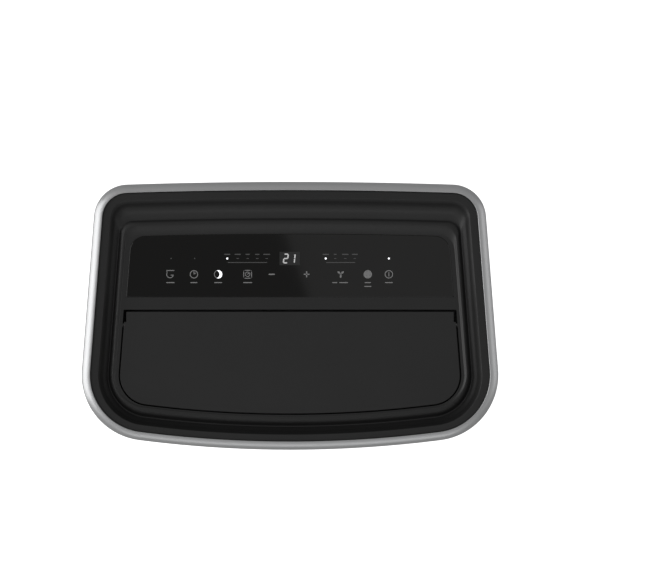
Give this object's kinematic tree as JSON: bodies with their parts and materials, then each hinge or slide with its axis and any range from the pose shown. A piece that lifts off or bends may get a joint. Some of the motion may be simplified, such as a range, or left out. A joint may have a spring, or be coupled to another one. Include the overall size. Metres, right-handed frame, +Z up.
{
  "type": "portable air conditioner",
  "caption": "Upright portable air conditioner on swivel casters, with a silver top ring, black touch panel, hinged air outlet flap and rear hose collar",
  "frame": {"origin": "the floor point under the middle of the plan outline", "axes": "+Z up, the front with the air outlet flap faces -Y, the rear with the hose collar faces +Y, +X to the right seen from the front"},
  "size_m": [0.5006, 0.322, 0.747],
  "materials": {
    "ring_silver": "satin silver lacquer on a moulded trim ring",
    "bezel_black": "fine-grained matte black moulding",
    "flap_black": "fine-grained matte black moulding",
    "panel_glass": "gloss black touch panel, printed from behind",
    "casing_white": "fine satin texture white moulding",
    "cup_white": "satin white moulding",
    "grille_white": "satin white moulding",
    "filter_grey": "grey moulded frame with a fine screen",
    "base_grey": "matte dark grey moulding",
    "duct_grey": "matte dark moulding",
    "vane_black": "matte black moulding",
    "gear_white": "natural acetal",
    "pin_steel": "ground steel",
    "motor_steel": "zinc plated pressed steel",
    "housing_galvanised": "galvanised sheet",
    "wheel_plastic": "moulded blower wheel",
    "coil_aluminium": "thin aluminium fins with copper bends",
    "compressor_black": "black enamel on a drawn steel can",
    "rubber_black": "moulded rubber",
    "pipe_copper": "drawn copper tube",
    "board_green": "solder-masked circuit board",
    "display_dark": "tinted display block",
    "capacitor_silver": "drawn aluminium can",
    "frame_steel": "galvanised steel section",
    "caster_plastic": "black nylon",
    "caster_tyre": "dark grey nylon tread",
    "collar_grey": "matte grey moulding",
    "plug_grey": "moulded rubber",
    "screw_steel": "nickel plated steel"
  },
  "bodies": {
    "cabinet": {"top_ring": "ring_silver", "top_bezel": "bezel_black", "control_glass": "panel_glass", "touch_board": "board_green", "display_module": "display_dark", "outlet_duct": "duct_grey", "flap_motor": "motor_steel", "evaporator_scroll": "housing_galvanised", "evaporator_fan_motor": "motor_steel", "condenser_scroll": "housing_galvanised", "condenser_fan_motor": "motor_steel", "slinger_motor": "motor_steel", "evaporator_coil": "coil_aluminium", "condenser_coil": "coil_aluminium", "compressor": "compressor_black", "compressor_mounts": "rubber_black", "accumulator": "compressor_black", "discharge_pipe": "pipe_copper", "suction_pipe": "pipe_copper", "capillary_tube": "pipe_copper", "electrical_box": "housing_galvanised", "main_board": "board_green", "run_capacitor": "capacitor_silver", "mid_partition": "duct_grey", "frame_posts": "frame_steel", "front_casing": "casing_white", "rear_casing": "casing_white", "casing_screws": "screw_steel", "left_handle_cup": "cup_white", "right_handle_cup": "cup_white", "exhaust_collar": "collar_grey", "power_cord_gland": "rubber_black", "base_pan": "base_grey"},
    "flap": {"flap": "flap_black", "flap_pins": "pin_steel"},
    "flap_pinion": {"flap_pinion": "gear_white"},
    "vane_1": {"vane_1": "vane_black"},
    "vane_2": {"vane_2": "vane_black"},
    "vane_3": {"vane_3": "vane_black"},
    "vane_4": {"vane_4": "vane_black"},
    "vane_5": {"vane_5": "vane_black"},
    "vane_6": {"vane_6": "vane_black"},
    "vane_link": {"vane_link": "vane_black"},
    "evaporator_fan": {"evaporator_fan_wheel": "wheel_plastic"},
    "condenser_fan": {"condenser_fan_wheel": "wheel_plastic"},
    "slinger": {"slinger_wheel": "wheel_plastic"},
    "upper_intake": {"upper_grille": "grille_white", "upper_filter": "filter_grey"},
    "lower_intake": {"lower_grille": "grille_white", "lower_filter": "filter_grey"},
    "upper_plug": {"upper_drain_plug": "plug_grey"},
    "lower_cap": {"lower_drain_cap": "plug_grey"},
    "caster_fl": {"caster_fl_fork": "caster_plastic"},
    "caster_fl_roll": {"caster_fl_wheel": "caster_tyre"},
    "caster_fr": {"caster_fr_fork": "caster_plastic"},
    "caster_fr_roll": {"caster_fr_wheel": "caster_tyre"},
    "caster_rl": {"caster_rl_fork": "caster_plastic"},
    "caster_rl_roll": {"caster_rl_wheel": "caster_tyre"},
    "caster_rr": {"caster_rr_fork": "caster_plastic"},
    "caster_rr_roll": {"caster_rr_wheel": "caster_tyre"}
  },
  "joints": [
    {"name": "flap_hinge", "type": "hinge", "parent": "cabinet", "child": "flap", "pos_m": [0, -0.011, 0.723], "axis": [-1, 0, 0], "range_deg": [0, 70]},
    {"name": "flap_motor_spin", "type": "hinge", "parent": "cabinet", "child": "flap_pinion", "pos_m": [-0.195, -0.01582, 0.69461], "axis": [1, 0, 0], "range_deg": [0, 246]},
    {"name": "vane_1_swing", "type": "hinge", "parent": "cabinet", "child": "vane_1", "pos_m": [-0.15, -0.063, 0.683], "axis": [0, 1, 0], "range_deg": [-30, 30]},
    {"name": "vane_2_swing", "type": "hinge", "parent": "cabinet", "child": "vane_2", "pos_m": [-0.09, -0.063, 0.683], "axis": [0, 1, 0], "range_deg": [-30, 30]},
    {"name": "vane_3_swing", "type": "hinge", "parent": "cabinet", "child": "vane_3", "pos_m": [-0.03, -0.063, 0.683], "axis": [0, 1, 0], "range_deg": [-30, 30]},
    {"name": "vane_4_swing", "type": "hinge", "parent": "cabinet", "child": "vane_4", "pos_m": [0.03, -0.063, 0.683], "axis": [0, 1, 0], "range_deg": [-30, 30]},
    {"name": "vane_5_swing", "type": "hinge", "parent": "cabinet", "child": "vane_5", "pos_m": [0.09, -0.063, 0.683], "axis": [0, 1, 0], "range_deg": [-30, 30]},
    {"name": "vane_6_swing", "type": "hinge", "parent": "cabinet", "child": "vane_6", "pos_m": [0.15, -0.063, 0.683], "axis": [0, 1, 0], "range_deg": [-30, 30]},
    {"name": "vane_link_slide", "type": "slide", "parent": "cabinet", "child": "vane_link", "axis": [-1, 0, 0], "range_m": [-0.0096, 0.0096]},
    {"name": "evaporator_fan_spin", "type": "hinge", "parent": "cabinet", "child": "evaporator_fan", "pos_m": [0, -0.063, 0.545], "axis": [0, 1, 0], "continuous": true},
    {"name": "condenser_fan_spin", "type": "hinge", "parent": "cabinet", "child": "condenser_fan", "pos_m": [0, 0.0425, 0.18], "axis": [0, 1, 0], "continuous": true},
    {"name": "slinger_spin", "type": "hinge", "parent": "cabinet", "child": "slinger", "pos_m": [0.125, 0.08, 0.092], "axis": [0, 1, 0], "continuous": true},
    {"name": "upper_intake_pull", "type": "slide", "parent": "cabinet", "child": "upper_intake", "axis": [0, 1, 0], "range_m": [0, 0.06]},
    {"name": "lower_intake_pull", "type": "slide", "parent": "cabinet", "child": "lower_intake", "axis": [0, 1, 0], "range_m": [0, 0.06]},
    {"name": "upper_plug_pull", "type": "slide", "parent": "cabinet", "child": "upper_plug", "axis": [0, 1, 0], "range_m": [0, 0.03]},
    {"name": "lower_cap_pull", "type": "slide", "parent": "cabinet", "child": "lower_cap", "axis": [0, 1, 0], "range_m": [0, 0.03]},
    {"name": "caster_fl_swivel", "type": "hinge", "parent": "cabinet", "child": "caster_fl", "pos_m": [-0.17, -0.092, 0.05], "axis": [0, 0, 1], "continuous": true},
    {"name": "caster_fl_roll", "type": "hinge", "parent": "caster_fl", "child": "caster_fl_roll", "pos_m": [-0.17, -0.078, 0.019], "axis": [1, 0, 0], "continuous": true},
    {"name": "caster_fr_swivel", "type": "hinge", "parent": "cabinet", "child": "caster_fr", "pos_m": [0.17, -0.092, 0.05], "axis": [0, 0, 1], "continuous": true},
    {"name": "caster_fr_roll", "type": "hinge", "parent": "caster_fr", "child": "caster_fr_roll", "pos_m": [0.17, -0.078, 0.019], "axis": [1, 0, 0], "continuous": true},
    {"name": "caster_rl_swivel", "type": "hinge", "parent": "cabinet", "child": "caster_rl", "pos_m": [-0.172, 0.098, 0.05], "axis": [0, 0, 1], "continuous": true},
    {"name": "caster_rl_roll", "type": "hinge", "parent": "caster_rl", "child": "caster_rl_roll", "pos_m": [-0.172, 0.112, 0.019], "axis": [1, 0, 0], "continuous": true},
    {"name": "caster_rr_swivel", "type": "hinge", "parent": "cabinet", "child": "caster_rr", "pos_m": [0.172, 0.098, 0.05], "axis": [0, 0, 1], "continuous": true},
    {"name": "caster_rr_roll", "type": "hinge", "parent": "caster_rr", "child": "caster_rr_roll", "pos_m": [0.172, 0.112, 0.019], "axis": [1, 0, 0], "continuous": true}
  ],
  "couplings": [
    {"joint": "flap_motor_spin", "follows": "flap_hinge", "ratio": 3.5},
    {"joint": "vane_2_swing", "follows": "vane_1_swing", "ratio": 1},
    {"joint": "vane_3_swing", "follows": "vane_1_swing", "ratio": 1},
    {"joint": "vane_4_swing", "follows": "vane_1_swing", "ratio": 1},
    {"joint": "vane_5_swing", "follows": "vane_1_swing", "ratio": 1},
    {"joint": "vane_6_swing", "follows": "vane_1_swing", "ratio": 1},
    {"joint": "vane_link_slide", "follows": "vane_1_swing", "m_per_rad": 0.0182}
  ]
}
